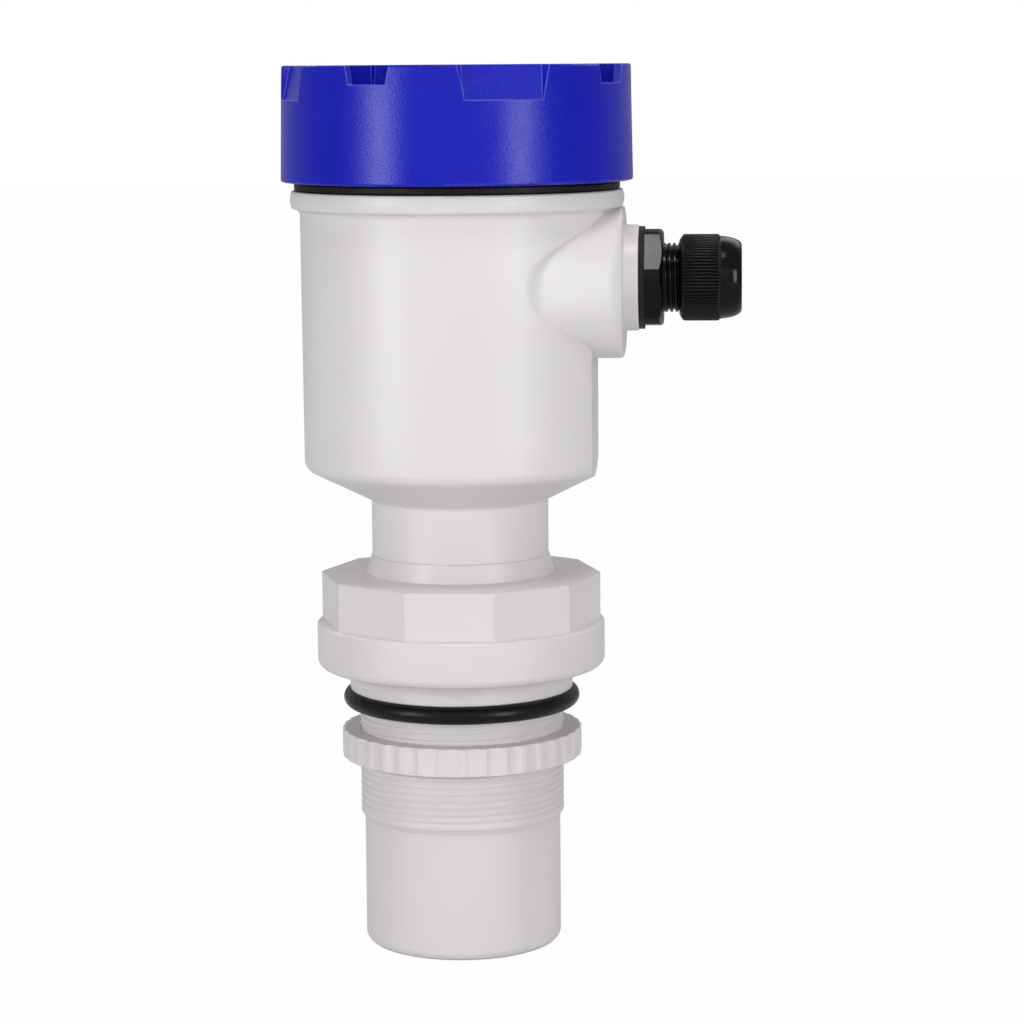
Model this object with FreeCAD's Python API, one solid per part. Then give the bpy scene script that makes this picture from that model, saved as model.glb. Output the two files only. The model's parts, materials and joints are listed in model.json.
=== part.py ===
import FreeCAD, Part
import math
import os

from FreeCAD import Vector

# Ultrasonic level sensor: screw lid, housing with side cable gland, and an M60 transducer.
# The origin is the centre of the sensing face, +Z runs up the main axis, the gland points along +X.
# All lengths are in millimetres and all angles in degrees.

# Transducer moulding, from the sensing face upwards
face_r = 28.9
face_edge_round = 2.8
face_wall = 3.0
thread_r = 30.0
thread_low = 39.3
thread_chamfer = 1.8
relief_r = 29.55
relief_low = 70.4
subring_r = 32.8
subring_low = 75.9
skirt_r = 42.3
skirt_low = 82.6
skirt_round = 2.6
decagon_sides = 10
decagon_corner_r = 41.1
decagon_low = 95.9
decagon_high = 109.9
decagon_crown = 0.5
collar_base_r = 27.6
collar_top_r = 26.0
collar_top = 115.8
transducer_bore_r = 23.9
core_out_in_r = 34.0
core_out_out_r = 37.6
core_out_high = 104.0
core_rib_width = 2.4

# Sounding stack potted into the transducer moulding
stack_gap = 0.1
matching_high = 7.0
piezo_r = 18.0
piezo_high = 14.0
backing_high = 30.0
potting_high = 60.0
sensor_r = 1.5
sensor_x = 21.0
sensor_high = 19.0
lead_r = 1.8
lead_straight_high = 100.0
lead_upper_low = 134.0
lead_out_x = 9.0
lead_bend_r = 60.0
plug_low = 160.0
plug_size = (9.0, 12.0)

# Housing
socket_depth = 17.8
spigot_r = 24.4
spigot_gap = 0.05
neck_r = 25.9
neck_bore_r = 21.5
cone_low = 131.9
cone_high = 141.6
body_low_r = 45.3
body_high_r = 45.7
body_corner_round = 3.5
rim_low = 216.9
rim_mid = 219.6
rim_high = 222.2
rim_r = 48.6
rim_edge_r = 48.1
lid_thread_r = 44.0
lid_thread_high = 238.2
cup_inner_r = 41.2
cup_floor = 146.0
cup_floor_fall = 9.5
side_flat_x = 39.8
side_wall = 3.0
post_pitch_r = 34.0
post_r = 4.0
post_top = 168.0
post_low = 139.0

# Cable boss on the housing
boss_end_x = 48.5
boss_root_x = 18.0
boss_mid_z = 195.2
boss_half_z = 21.8
boss_end_half_y = 22.7
boss_root_half_y = 42.7
boss_wall = 3.0
boss_end_wall = 5.2
boss_root_power = 3.0
boss_end_power = 2.3
boss_points = 32

# Cable gland, measured along +X
gland_z = 196.4
seat_r = 15.4
seat_end_x = 52.8
gland_stem_r = 10.0
gland_hole_r = 10.1
gland_stem_x = 37.6
gland_bore_r = 7.0
washer_r = 14.9
washer_end_x = 54.5
gland_hex_flats = 27.0
gland_hex_turned_r = 14.7
gland_hex_turn_deg = 18.0
gland_hex_chamfer = 1.1
gland_hex_end_x = 59.9
gland_neck_end_x = 70.0
gland_pocket_r = 8.9
gland_pocket_x = 63.0
inner_nut_flats = 26.0
inner_nut_turned_r = 14.4
inner_nut_thick = 5.0
claw_r = 8.8
claw_inner_r = 7.1
claw_end_x = 78.2
claw_count = 8
claw_slot_width = 1.6
seal_r = 7.05
seal_bore_r = 4.5
seal_low_x = 65.0
seal_end_x = 77.2
dome_low_x = 64.4
dome_rib_end_x = 76.2
dome_end_x = 82.8
dome_r = 12.5
dome_rib_depth = 0.35
dome_rib_count = 80
dome_shoulder_r = 10.9
dome_shoulder_x = 80.1
dome_end_r = 9.7
dome_thread_r = 10.06
dome_thread_end_x = 74.0
dome_cone_r = 9.3
dome_mouth_r = 6.6

# Sealing ring and lock ring on the process thread
o_ring_tube_r = 2.6
o_ring_mid_r = 32.2
o_ring_z = 73.3
lock_nut_low = 55.9
lock_nut_high = 64.1
lock_nut_r = 35.3
lock_nut_bore_r = 30.06
lock_nut_teeth = 36
lock_nut_scallop_r = 4.6
lock_nut_scallop_pitch_r = 39.2

# Screw lid
lid_low = 224.8
lid_high = 258.2
lid_low_r = 51.1
lid_high_r = 50.5
lid_wall = 2.5
lid_rim_wall = 2.3
lid_ring_inner_r = 44.1
lid_ring_outer_r = 46.8
lid_deck_low = 245.0
lid_deck_high = 249.0
lid_relief_high = 243.0
lid_edge_round = 0.7
notch_count = 4
notch_first_deg = -24.6
notch_depth = 5.4
notch_top_half = 7.0
notch_low_half = 5.9
grip_first_deg = 20.4
grip_depth = 9.8
grip_top_half = 13.8
grip_low_half = 11.5
grip_floor_top = 46.4
grip_floor_low = 48.7
grip_wall_slope = 2.0
grip_flare = 0.2
grip_wall = 2.2
window_hole_r = 32.0

# Window in the lid
window_r = 35.4
window_thick = 3.0
window_seal_thick = 0.8
retainer_r = 40.0
retainer_lip = 2.0
retainer_sleeve_r = 35.7
retainer_screw_pitch_r = 37.9
retainer_screw_count = 4
gasket_r = 47.3
gasket_inner_r = 44.2

# Boards and display inside the housing
board_r = 38.0
board_flat_x = 35.0
board_thick = 1.6
board_hole_r = 1.6
standoff_flats = 6.0
display_board_low = 224.0
screw_r = 1.25
screw_head_r = 2.7
screw_head_high = 1.8
screw_pilot_r = 1.3
bezel_r = 39.5
bezel_wall = 2.4
bezel_high = 235.0
bezel_plate = 1.6
lcd_size = (56.0, 30.0)
lcd_view = (50.0, 24.0)
lcd_mid_y = 5.0
button_y = -20.0
button_pitch = 11.0
button_r = 3.0
button_hole_r = 3.08
button_flange_r = 3.9
button_proud = 1.2
button_count = 4
switch_high = 231.4
switch_size = 6.0
switch_case_high = 3.6
switch_plunger_r = 1.75

# Parts on the main board
terminal_x = 24.0
terminal_ways = 6
terminal_pitch = 5.08
terminal_depth = 9.0
terminal_high = 12.5
terminal_well_r = 2.0
terminal_well_depth = 5.0
terminal_mouth = (3.2, 3.6)
terminal_screw_r = 1.9
terminal_screw_high = 2.0
power_size = (20.0, 26.0, 14.0)
power_x = 2.0
power_round = 1.5
tall_can = (4.0, 16.0)
short_can = (3.2, 11.0)
tall_can_places = [(-6.0, 24.0), (4.0, 26.0)]
short_can_places = [(-4.0, -25.0)]
ribbon_x = -30.0
ribbon_bow = 4.0
ribbon_wide = 14.0
ribbon_thick = 0.9
header_size = (5.0, 17.0)
header_high = 6.0


def rounded_edges(points, radii, closed):
    """Straight edges joined by tangent arcs, one radius for each point."""
    count = len(points)
    corners = []
    for i, point in enumerate(points):
        is_end = not closed and i in (0, count - 1)
        if radii[i] <= 0 or is_end:
            corners.append((point, None, point))
            continue
        back = (points[i - 1] - point).normalize()
        ahead = (points[(i + 1) % count] - point).normalize()
        half = back.getAngle(ahead) / 2
        reach = radii[i] / math.tan(half)
        inward = (back + ahead).normalize()
        centre = point + inward * (radii[i] / math.sin(half))
        corners.append((point + back * reach, centre - inward * radii[i], point + ahead * reach))
    edges = []
    for i, (start, middle, end) in enumerate(corners):
        if middle is not None:
            edges.append(Part.Arc(start, middle, end).toShape())
        if closed or i < count - 1:
            following = corners[(i + 1) % count][0]
            if end.distanceToPoint(following) > 1e-6:
                edges.append(Part.LineSegment(end, following).toShape())
    return edges


def lathe(outline):
    """Solid of revolution about Z from (radius, height) or (radius, height, corner round) points."""
    points = [Vector(p[0], 0, p[1]) for p in outline]
    radii = [p[2] if len(p) > 2 else 0 for p in outline]
    wire = Part.Wire(rounded_edges(points, radii, True))
    return Part.Face(wire).revolve(Vector(0, 0, 0), Vector(0, 0, 1), 360)


def tube(outer, inner, low, high):
    return lathe([(inner, low), (outer, low), (outer, high), (inner, high)])


def rod(radius, low, high, x=0.0, y=0.0):
    return Part.makeCylinder(radius, high - low, Vector(x, y, low))


def block(size_x, size_y, low, high, x=0.0, y=0.0):
    return Part.makeBox(size_x, size_y, high - low, Vector(x - size_x / 2, y - size_y / 2, low))


def prism(sides, corner_r, low, high, first_deg=0.0):
    corners = [polar(corner_r, first_deg + 360 * i / sides, low) for i in range(sides + 1)]
    return Part.Face(Part.makePolygon(corners)).extrude(Vector(0, 0, high - low))


def polar(radius, angle_deg, z=0.0):
    angle = math.radians(angle_deg)
    return Vector(radius * math.cos(angle), radius * math.sin(angle), z)


def turned(shape, angle_deg):
    copy = shape.copy()
    copy.rotate(Vector(0, 0, 0), Vector(0, 0, 1), angle_deg)
    return copy


def ring_of(shape, count, first_deg=0.0):
    return [turned(shape, first_deg + 360 * i / count) for i in range(count)]


def on_gland_axis(shape):
    """Lays a shape that was turned about +Z along +X at the gland's height."""
    copy = shape.copy()
    copy.rotate(Vector(0, 0, 0), Vector(0, 1, 0), 90)
    copy.translate(Vector(0, 0, gland_z))
    return copy


def save(name, shape):
    shape.exportStep("parts/" + name + ".step")


def corner_places(pitch_r):
    return [polar(pitch_r, 45 + 90 * i) for i in range(4)]


# Transducer

def decagon_top():
    """Shallow ten-sided crown that rises from the edge of the decagon to the collar."""
    outlines = []
    for corner_r, z in ((decagon_corner_r, decagon_high), (collar_base_r + 1.5, decagon_high + decagon_crown)):
        corners = [polar(corner_r, 360 * i / decagon_sides, z) for i in range(decagon_sides + 1)]
        outlines.append(Part.makePolygon(corners))
    return Part.makeLoft(outlines, True, True)


def transducer_body():
    """One moulding: sensing face, threaded sleeve, sealing ring seat, skirt, decagon and collar."""
    spigot_low = collar_top - socket_depth
    outline = [
        (0, 0), (face_r, 0, face_edge_round), (face_r, thread_low - thread_chamfer),
        (thread_r, thread_low), (thread_r, relief_low), (relief_r, relief_low + 0.45),
        (relief_r, subring_low), (subring_r, subring_low, 0.4), (subring_r, skirt_low),
        (skirt_r, skirt_low, skirt_round), (skirt_r, decagon_low - 0.6), (skirt_r - 0.6, decagon_low),
        (collar_base_r + 1.0, decagon_low), (collar_base_r + 1.0, decagon_high),
        (collar_base_r, decagon_high + decagon_crown), (collar_top_r, collar_top),
        (spigot_r + spigot_gap, collar_top), (spigot_r + spigot_gap, spigot_low),
        (transducer_bore_r, spigot_low), (transducer_bore_r, face_wall), (0, face_wall)]
    nut = prism(decagon_sides, decagon_corner_r, decagon_low - 0.5, decagon_high)
    nut = nut.fuse(decagon_top())
    nut = nut.cut(rod(spigot_r + 1.0, decagon_low - 1, collar_top))
    moulding = lathe(outline).fuse(nut)
    pocket = tube(core_out_out_r, core_out_in_r, skirt_low - 1, core_out_high)
    rib_length = core_out_out_r - core_out_in_r + 2
    rib_place = Vector(core_out_in_r - 1, -core_rib_width / 2, 0)
    rib = Part.makeBox(rib_length, core_rib_width, core_out_high, rib_place)
    for wall in ring_of(rib, decagon_sides):
        pocket = pocket.cut(wall)
    return moulding.cut(pocket).removeSplitter()


def matching_layer():
    return rod(transducer_bore_r - stack_gap, face_wall, matching_high)


def piezo_disc():
    return rod(piezo_r, matching_high, piezo_high)


def backing_block():
    """Sound-damping block cast over the disc, with a hole for the temperature sensor."""
    outer_r = transducer_bore_r - stack_gap
    recess_r = piezo_r + stack_gap
    shape = lathe([
        (0, piezo_high), (recess_r, piezo_high), (recess_r, matching_high), (outer_r, matching_high),
        (outer_r, backing_high), (0, backing_high)])
    return shape.cut(rod(sensor_r + stack_gap, matching_high - 0.1, sensor_high + stack_gap, sensor_x, 0))


def temperature_sensor():
    return rod(sensor_r, matching_high, sensor_high, sensor_x, 0)


def potting_plug():
    return rod(transducer_bore_r - stack_gap, backing_high, potting_high)


def transducer_lead():
    """Coaxial lead from the potted transducer up through the neck to the main board."""
    points = [
        Vector(0, 0, potting_high), Vector(0, 0, lead_straight_high),
        Vector(lead_out_x, 0, lead_upper_low), Vector(lead_out_x, 0, plug_low)]
    path = Part.Wire(rounded_edges(points, [0, lead_bend_r, lead_bend_r, 0], False))
    section = Part.Wire(Part.Circle(points[0], Vector(0, 0, 1), lead_r).toShape())
    return path.makePipeShell([section], True, False)


def transducer_plug():
    return block(plug_size[0], plug_size[1], plug_low, post_top, lead_out_x, 0)


# Housing

def boss_section(x, half_y, half_z, power):
    """Closed smooth outline across the boss, between an ellipse and a rounded rectangle."""
    points = []
    for i in range(boss_points):
        angle = 2 * math.pi * i / boss_points
        across = math.cos(angle)
        rise = math.sin(angle)
        reach = (abs(across / half_y) ** power + abs(rise / half_z) ** power) ** (-1 / power)
        points.append(Vector(x, reach * across, boss_mid_z + reach * rise))
    curve = Part.BSplineCurve()
    curve.interpolate(Points=points, PeriodicFlag=True)
    return Part.Wire(curve.toShape())


def boss(inset, end_x):
    """The flared cable boss, or its inside when inset is the wall."""
    slope = (boss_root_half_y - boss_end_half_y) / (boss_end_x - boss_root_x)
    end_half_y = boss_end_half_y + slope * (boss_end_x - end_x) - inset
    root = boss_section(boss_root_x, boss_root_half_y - inset, boss_half_z - inset, boss_root_power)
    end = boss_section(end_x, end_half_y, boss_half_z - inset, boss_end_power)
    return Part.makeLoft([root, end], True, True)


def housing_outside():
    spigot_low = collar_top - socket_depth
    outline = [
        (0, spigot_low), (spigot_r, spigot_low), (spigot_r, collar_top), (neck_r, collar_top),
        (neck_r, cone_low, 1.0), (body_low_r, cone_high, body_corner_round),
        (body_high_r, rim_low - 0.2, 2.0), (rim_edge_r, rim_low + 0.2, 0.8), (rim_r, rim_mid, 3.0),
        (rim_edge_r, rim_high, 0.6), (lid_thread_r, rim_high), (lid_thread_r, lid_thread_high, 0.8),
        (0, lid_thread_high)]
    shape = lathe(outline)
    beyond = 2 * rim_r
    flat_cut = Part.makeBox(beyond, beyond, rim_low - cone_low - 1, Vector(side_flat_x, -rim_r, cone_low))
    return shape.cut(flat_cut).fuse(boss(0.0, boss_end_x))


def housing_inside():
    spigot_low = collar_top - socket_depth
    outline = [
        (0, spigot_low - 1), (neck_bore_r, spigot_low - 1), (neck_bore_r, cup_floor - cup_floor_fall, 1.0),
        (cup_inner_r, cup_floor, 2.0), (cup_inner_r, lid_thread_high + 1), (0, lid_thread_high + 1)]
    cup = lathe(outline)
    beyond = 2 * rim_r
    flat_x = side_flat_x - side_wall
    behind_flat = Part.makeBox(beyond, beyond, rim_low - cone_low, Vector(flat_x, -rim_r, cone_low))
    return cup.cut(behind_flat).fuse(boss(boss_wall, boss_end_x - boss_end_wall))


def housing():
    """Moulded cup with rim, lid neck, side boss and gland seat, cone and glue spigot."""
    shape = housing_outside().cut(housing_inside())
    seat = lathe([(0, boss_end_x - 2), (seat_r, boss_end_x - 2), (seat_r, seat_end_x, 0.4), (0, seat_end_x)])
    shape = shape.fuse(on_gland_axis(seat))
    for place in corner_places(post_pitch_r):
        post = rod(post_r, post_low, post_top, place.x, place.y)
        shape = shape.fuse(post)
    for place in corner_places(post_pitch_r):
        shape = shape.cut(rod(screw_pilot_r, post_top - 12, post_top + 1, place.x, place.y))
    gland_hole = on_gland_axis(rod(gland_hole_r, boss_end_x - boss_end_wall - 3, seat_end_x + 1))
    return shape.cut(gland_hole).removeSplitter()


# Lid

def lid_blank():
    outline = [
        (lid_ring_inner_r, lid_low), (lid_ring_outer_r, lid_low), (lid_ring_outer_r, lid_relief_high),
        (lid_low_r - lid_wall, lid_relief_high), (lid_low_r - lid_wall, lid_low),
        (lid_low_r, lid_low, lid_edge_round), (lid_high_r, lid_high, lid_edge_round),
        (lid_high_r - lid_rim_wall, lid_high, 0.3), (lid_high_r - lid_rim_wall, lid_deck_high, 0.8),
        (window_hole_r, lid_deck_high, 0.5), (window_hole_r, lid_deck_low), (lid_ring_inner_r, lid_deck_low)]
    return lathe(outline)


def tapered_wedge(floor_top, floor_low, half_top, half_low, slope_top, slope_low, low, high, reach):
    """Pocket open outwards: a leaning flat floor and sides that widen towards the outside."""
    sections = []
    ends = ((high, floor_top, half_top, slope_top), (low, floor_low, half_low, slope_low))
    for z, floor, half, slope in ends:
        run = reach - floor
        corners = [
            Vector(floor, -(half - slope), z), Vector(reach, -(half + slope * grip_flare * run), z),
            Vector(reach, half + slope * grip_flare * run, z), Vector(floor, half - slope, z)]
        sections.append(Part.makePolygon(corners + corners[:1]))
    return Part.makeLoft(sections, True, True)


def lid_grip_pocket():
    low = lid_high - grip_depth
    fall = (grip_floor_low - grip_floor_top) / grip_depth
    over = 1.0
    return tapered_wedge(
        grip_floor_top - fall * over, grip_floor_low, grip_top_half, grip_low_half,
        grip_wall_slope, 0.3, low, lid_high + over, lid_low_r + 1)


def lid_grip_backing():
    """Wall that follows the floor of a grip pocket on the inside of the rim."""
    inner_top = grip_floor_top - grip_wall
    inner_low = grip_floor_low - grip_wall
    half = grip_top_half + 0.6
    backing = tapered_wedge(
        inner_top, inner_low, half, half, 1.4, 1.0, lid_deck_low + 1, lid_high, lid_high_r)
    return backing.common(rod(lid_high_r - 1.0, lid_deck_low, lid_high))


def lid_notch():
    low = lid_high - notch_depth
    inner = lid_high_r - lid_rim_wall - 3
    corners = [
        Vector(inner, -notch_low_half, low), Vector(inner, notch_low_half, low),
        Vector(inner, notch_top_half, lid_high + 0.01), Vector(inner, notch_top_half, lid_high + 1),
        Vector(inner, -notch_top_half, lid_high + 1), Vector(inner, -notch_top_half, lid_high + 0.01)]
    face = Part.Face(Part.makePolygon(corners + corners[:1]))
    return face.extrude(Vector(lid_rim_wall + 5, 0, 0))


def lid_cover():
    """Screw lid: skirt, inner threaded ring, deck with window opening, notched rim with grips."""
    shape = lid_blank()
    for backing in ring_of(lid_grip_backing(), notch_count, grip_first_deg):
        shape = shape.fuse(backing)
    for pocket in ring_of(lid_grip_pocket(), notch_count, grip_first_deg):
        shape = shape.cut(pocket)
    for notch in ring_of(lid_notch(), notch_count, notch_first_deg):
        shape = shape.cut(notch)
    pilot = rod(screw_pilot_r, lid_deck_low - 1, lid_deck_low + 3.0, retainer_screw_pitch_r, 0)
    for hole in ring_of(pilot, retainer_screw_count, 45):
        shape = shape.cut(hole)
    return shape.removeSplitter()


def window_seal():
    return tube(window_r, window_hole_r + 0.6, lid_deck_low - window_seal_thick, lid_deck_low)


def window_pane():
    high = lid_deck_low - window_seal_thick
    low = high - window_thick
    return lathe([(0, low), (window_r, low, 0.3), (window_r, high, 0.3), (0, high)])


def window_retainer():
    """Clamp ring that holds the pane and its seal against the underside of the deck."""
    lip_high = lid_deck_low - window_seal_thick - window_thick
    low = lip_high - retainer_lip
    outline = [
        (window_hole_r, low), (retainer_r, low, 0.4), (retainer_r, lid_deck_low),
        (retainer_sleeve_r, lid_deck_low), (retainer_sleeve_r, lip_high), (window_hole_r, lip_high)]
    shape = lathe(outline)
    hole = rod(board_hole_r, low - 1, lid_deck_low + 1, retainer_screw_pitch_r, 0)
    for cutter in ring_of(hole, retainer_screw_count, 45):
        shape = shape.cut(cutter)
    return shape


def pan_screw(x, y, seat_z, length, way=-1):
    """Pan-head screw: the head stands on seat_z and the shank runs the way given along Z."""
    shank_end = seat_z + way * length
    head_end = seat_z - way * screw_head_high
    shank = rod(screw_r, min(seat_z, shank_end), max(seat_z, shank_end), x, y)
    head = rod(screw_head_r, min(seat_z, head_end), max(seat_z, head_end), x, y)
    slot_low = head_end - 0.7 if way < 0 else head_end - 0.01
    slot = block(5.6, 0.7, slot_low, slot_low + 0.71, x, y)
    return head.fuse(shank).cut(slot).removeSplitter()


def retainer_screws():
    seat = lid_deck_low - window_seal_thick - window_thick - retainer_lip
    reach = lid_deck_low - seat + 2.6
    screws = []
    for i in range(retainer_screw_count):
        place = polar(retainer_screw_pitch_r, 45 + 360 * i / retainer_screw_count)
        screws.append(pan_screw(place.x, place.y, seat, reach, 1))
    return Part.makeCompound(screws)


def lid_gasket():
    return lathe([
        (gasket_inner_r, rim_high), (gasket_r, rim_high, 0.8), (gasket_r, lid_low, 0.8),
        (gasket_inner_r, lid_low)])


# Process connection

def o_ring():
    return Part.makeTorus(o_ring_mid_r, o_ring_tube_r, Vector(0, 0, o_ring_z))


def lock_nut():
    """Ring nut for the process thread, with finger scallops round its rim."""
    shape = lathe([
        (lock_nut_bore_r, lock_nut_low), (lock_nut_r, lock_nut_low, 0.5),
        (lock_nut_r, lock_nut_high, 0.5), (lock_nut_bore_r, lock_nut_high)])
    cutter = rod(lock_nut_scallop_r, lock_nut_low - 1, lock_nut_high + 1, lock_nut_scallop_pitch_r, 0)
    return shape.cut(Part.makeCompound(ring_of(cutter, lock_nut_teeth)))


# Cable gland, turned about +Z and then laid along +X

def turned_hexagon(flats, low, high, chamfer_low, chamfer_high, corner_r):
    """Hexagon prism whose corners are turned down to corner_r at the chamfered ends."""
    corner = flats / math.sqrt(3)
    shape = prism(6, corner, low, high, gland_hex_turn_deg)
    end_r = flats / 2 - 0.6
    low_r, low_cut = (end_r, gland_hex_chamfer) if chamfer_low else (corner_r, 0)
    high_r, high_cut = (end_r, gland_hex_chamfer) if chamfer_high else (corner_r, 0)
    outline = [
        (0, low), (low_r, low), (corner_r, low + low_cut), (corner_r, high - high_cut), (high_r, high),
        (0, high)]
    return shape.common(lathe(outline))


def gland_body():
    """Hexagon with a threaded stem into the housing and a threaded neck for the dome nut."""
    hexagon = turned_hexagon(
        gland_hex_flats, washer_end_x, gland_hex_end_x, False, True, gland_hex_turned_r)
    stem = lathe([
        (0, gland_stem_x), (gland_stem_r, gland_stem_x, 0.6), (gland_stem_r, gland_neck_end_x, 0.6),
        (0, gland_neck_end_x)])
    beyond = gland_neck_end_x + 1
    bore = lathe([
        (0, gland_stem_x - 1), (gland_bore_r, gland_stem_x - 1), (gland_bore_r, gland_pocket_x),
        (gland_pocket_r, gland_pocket_x), (gland_pocket_r, beyond), (0, beyond)])
    return on_gland_axis(hexagon.fuse(stem).cut(bore).removeSplitter())


def gland_washer():
    return on_gland_axis(tube(washer_r, gland_hole_r, seat_end_x, washer_end_x))


def gland_inner_nut():
    high = boss_end_x - boss_end_wall
    low = high - inner_nut_thick
    nut = turned_hexagon(inner_nut_flats, low, high, True, False, inner_nut_turned_r)
    return on_gland_axis(nut.cut(rod(dome_thread_r, low - 1, high + 1)))


def gland_claw_ring():
    """Sleeve of springy claws that the dome nut squeezes onto the seal."""
    shape = lathe([
        (claw_inner_r, gland_pocket_x), (claw_r, gland_pocket_x), (claw_r, claw_end_x - 2.4),
        (claw_r - 1.1, claw_end_x), (claw_inner_r, claw_end_x)])
    slot_low = gland_neck_end_x - 1.0
    slot_place = Vector(claw_inner_r - 1, -claw_slot_width / 2, slot_low)
    slot = Part.makeBox(claw_r, claw_slot_width, claw_end_x, slot_place)
    return on_gland_axis(shape.cut(Part.makeCompound(ring_of(slot, claw_count))))


def gland_seal_bush():
    return on_gland_axis(tube(seal_r, seal_bore_r, seal_low_x, seal_end_x))


def ribbed_disc(low, high):
    """Ring of fine pointed ribs, as a star outline with a straight flank each side of each rib."""
    corners = []
    for i in range(2 * dome_rib_count + 1):
        radius = dome_r if i % 2 == 0 else dome_r - dome_rib_depth
        corners.append(polar(radius, 180 * i / dome_rib_count, low))
    return Part.Face(Part.makePolygon(corners)).extrude(Vector(0, 0, high - low))


def gland_dome_nut():
    """Compression nut: ribbed grip, then a smooth dome round the cable mouth."""
    valley_r = dome_r - dome_rib_depth - 0.1
    skin_r = dome_r + 0.1
    grip_end = dome_rib_end_x + 0.1
    skin = lathe([
        (0, dome_low_x), (skin_r - 0.8, dome_low_x), (skin_r, dome_low_x + 0.8), (skin_r, grip_end),
        (0, grip_end)])
    grip = ribbed_disc(dome_low_x, dome_rib_end_x).common(skin)
    dome = lathe([
        (0, dome_rib_end_x - 0.5), (valley_r, dome_rib_end_x - 0.5), (valley_r, dome_rib_end_x + 0.7, 1.5),
        (dome_shoulder_r, dome_shoulder_x, 2.0), (dome_end_r, dome_end_x, 1.8), (0, dome_end_x)])
    inside = lathe([
        (0, dome_low_x - 1), (dome_thread_r, dome_low_x - 1), (dome_thread_r, dome_thread_end_x),
        (dome_cone_r, dome_thread_end_x), (dome_cone_r, dome_thread_end_x + 1.8),
        (claw_inner_r + 1.2, claw_end_x + 0.3), (dome_mouth_r, claw_end_x + 1.4),
        (dome_mouth_r, dome_end_x + 1), (0, dome_end_x + 1)])
    return on_gland_axis(grip.fuse(dome).cut(inside))


# Boards, display and keypad

def board(low, radius):
    shape = rod(radius, low, low + board_thick)
    off = Part.makeBox(radius, 2 * radius, board_thick + 2, Vector(board_flat_x, -radius, low - 1))
    shape = shape.cut(off)
    for place in corner_places(post_pitch_r):
        shape = shape.cut(rod(board_hole_r, low - 1, low + board_thick + 1, place.x, place.y))
    return shape


def board_standoffs():
    """Four hexagon pillars whose studs hold the main board to the housing posts."""
    low = post_top + board_thick
    pillars = []
    for place in corner_places(post_pitch_r):
        pillar = prism(6, standoff_flats / math.sqrt(3), low, display_board_low)
        pillar = pillar.cut(rod(screw_pilot_r, display_board_low - 10, display_board_low + 1))
        stud = rod(screw_r, post_top - 8, low + 0.5)
        pillar = pillar.fuse(stud)
        pillar.translate(place)
        pillars.append(pillar)
    return Part.makeCompound(pillars)


def display_screws():
    seat = display_board_low + board_thick
    places = corner_places(post_pitch_r)
    return Part.makeCompound([pan_screw(p.x, p.y, seat, 8.0) for p in places])


def button_places():
    first = -button_pitch * (button_count - 1) / 2
    return [(first + button_pitch * i, button_y) for i in range(button_count)]


def display_bezel():
    """Round cover over the display board with a view opening and button holes."""
    low = display_board_low + board_thick
    plate_low = bezel_high - bezel_plate
    outline = [
        (0, plate_low), (bezel_r - bezel_wall, plate_low), (bezel_r - bezel_wall, low), (bezel_r, low),
        (bezel_r, bezel_high, 1.0), (0, bezel_high)]
    shape = lathe(outline)
    shape = shape.cut(block(lcd_view[0], lcd_view[1], plate_low - 1, bezel_high + 1, 0, lcd_mid_y))
    for x, y in button_places():
        shape = shape.cut(rod(button_hole_r, plate_low - 1, bezel_high + 1, x, y))
    return shape


def lcd_module():
    low = display_board_low + board_thick
    plate_low = bezel_high - bezel_plate
    return block(lcd_size[0], lcd_size[1], low, plate_low - 0.05, 0, lcd_mid_y)


def keypad_button(x, y):
    flange_high = bezel_high - bezel_plate - 0.05
    cap = lathe([
        (0, switch_high + 0.4), (button_flange_r, switch_high + 0.4), (button_flange_r, flange_high),
        (button_r, flange_high), (button_r, bezel_high + button_proud, 0.6), (0, bezel_high + button_proud)])
    cap.translate(Vector(x, y, 0))
    return cap


def button_switches():
    low = display_board_low + board_thick
    switches = []
    for x, y in button_places():
        case = block(switch_size, switch_size, low, low + switch_case_high, x, y)
        plunger = rod(switch_plunger_r, low + switch_case_high, switch_high, x, y)
        switches.append(case.fuse(plunger))
    return Part.makeCompound(switches)


def main_board_top():
    return post_top + board_thick


def terminal_ys():
    first = -terminal_pitch * (terminal_ways - 1) / 2
    return [first + terminal_pitch * i for i in range(terminal_ways)]


def terminal_block():
    """Six-way clamp block with a wire mouth towards the gland and a screw well above each."""
    low = main_board_top()
    high = low + terminal_high
    shape = block(terminal_depth, terminal_pitch * terminal_ways, low, high, terminal_x, 0)
    mouth_x = terminal_x + terminal_depth / 2
    for y in terminal_ys():
        shape = shape.cut(rod(terminal_well_r, high - terminal_well_depth, high + 1, terminal_x, y))
        place = Vector(mouth_x - 4.0, y - terminal_mouth[0] / 2, low + 2.0)
        shape = shape.cut(Part.makeBox(5.0, terminal_mouth[0], terminal_mouth[1], place))
    return shape


def terminal_screws():
    floor = main_board_top() + terminal_high - terminal_well_depth
    head_high = floor + terminal_screw_high
    screws = []
    for y in terminal_ys():
        head = rod(terminal_screw_r, floor, head_high, terminal_x, y)
        slot = block(2 * terminal_screw_r - 0.2, 0.6, head_high - 0.7, head_high + 0.1, terminal_x, y)
        screws.append(head.cut(slot))
    return Part.makeCompound(screws)


def power_module():
    low = main_board_top()
    case = block(power_size[0], power_size[1], low, low + power_size[2], power_x, 0)
    upright = [edge for edge in case.Edges if abs(edge.tangentAt(edge.FirstParameter).z) > 0.99]
    return case.makeFillet(power_round, upright)


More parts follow.
